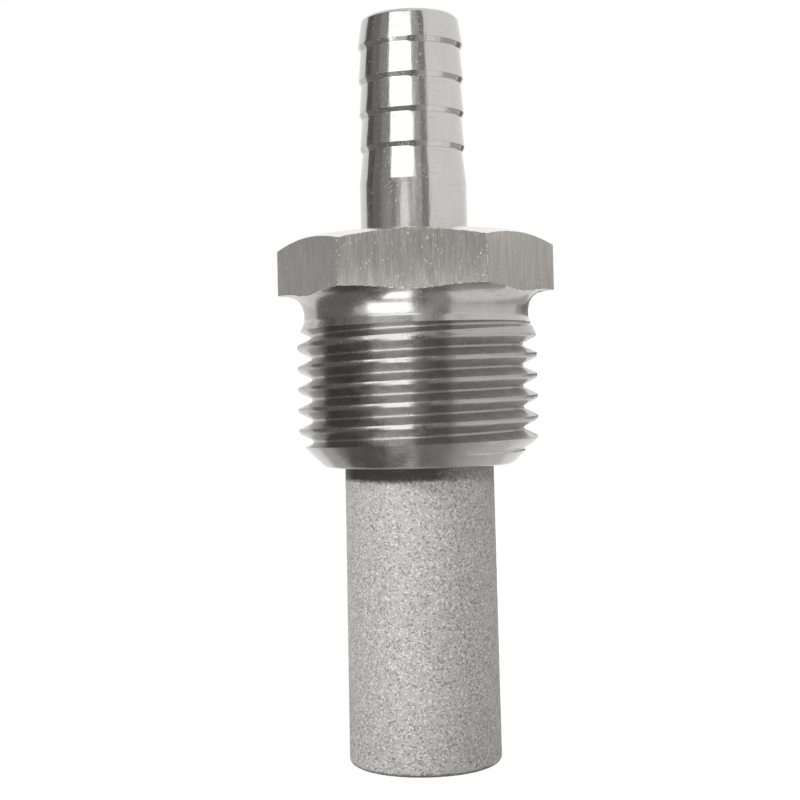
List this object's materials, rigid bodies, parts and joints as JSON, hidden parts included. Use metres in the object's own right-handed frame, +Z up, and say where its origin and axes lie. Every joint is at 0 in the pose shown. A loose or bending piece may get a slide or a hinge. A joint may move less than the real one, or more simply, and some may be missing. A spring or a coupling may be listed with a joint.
{
  "type": "carbonation stone",
  "caption": "Stainless hose-barb fitting with a hexagon and a male pipe thread, holding a closed porous sintered cup that breaks gas into fine bubbles.",
  "frame": {"origin": "middle of the porous cup's flat lower end, which the object stands on", "axes": "+Z up the common axis to the tip of the hose barb; two corners of the hexagon point along +X and -X, and two of its flats face +Y and -Y"},
  "size_m": [0.0242, 0.021, 0.065],
  "materials": {
    "turned_steel": "bright turned stainless steel, with a brushed hexagon",
    "sintered_steel": "matt, fine-grained sintered stainless steel"
  },
  "bodies": {
    "root": {"fitting_body": "turned_steel", "porous_stone": "sintered_steel"}
  },
  "joints": []
}
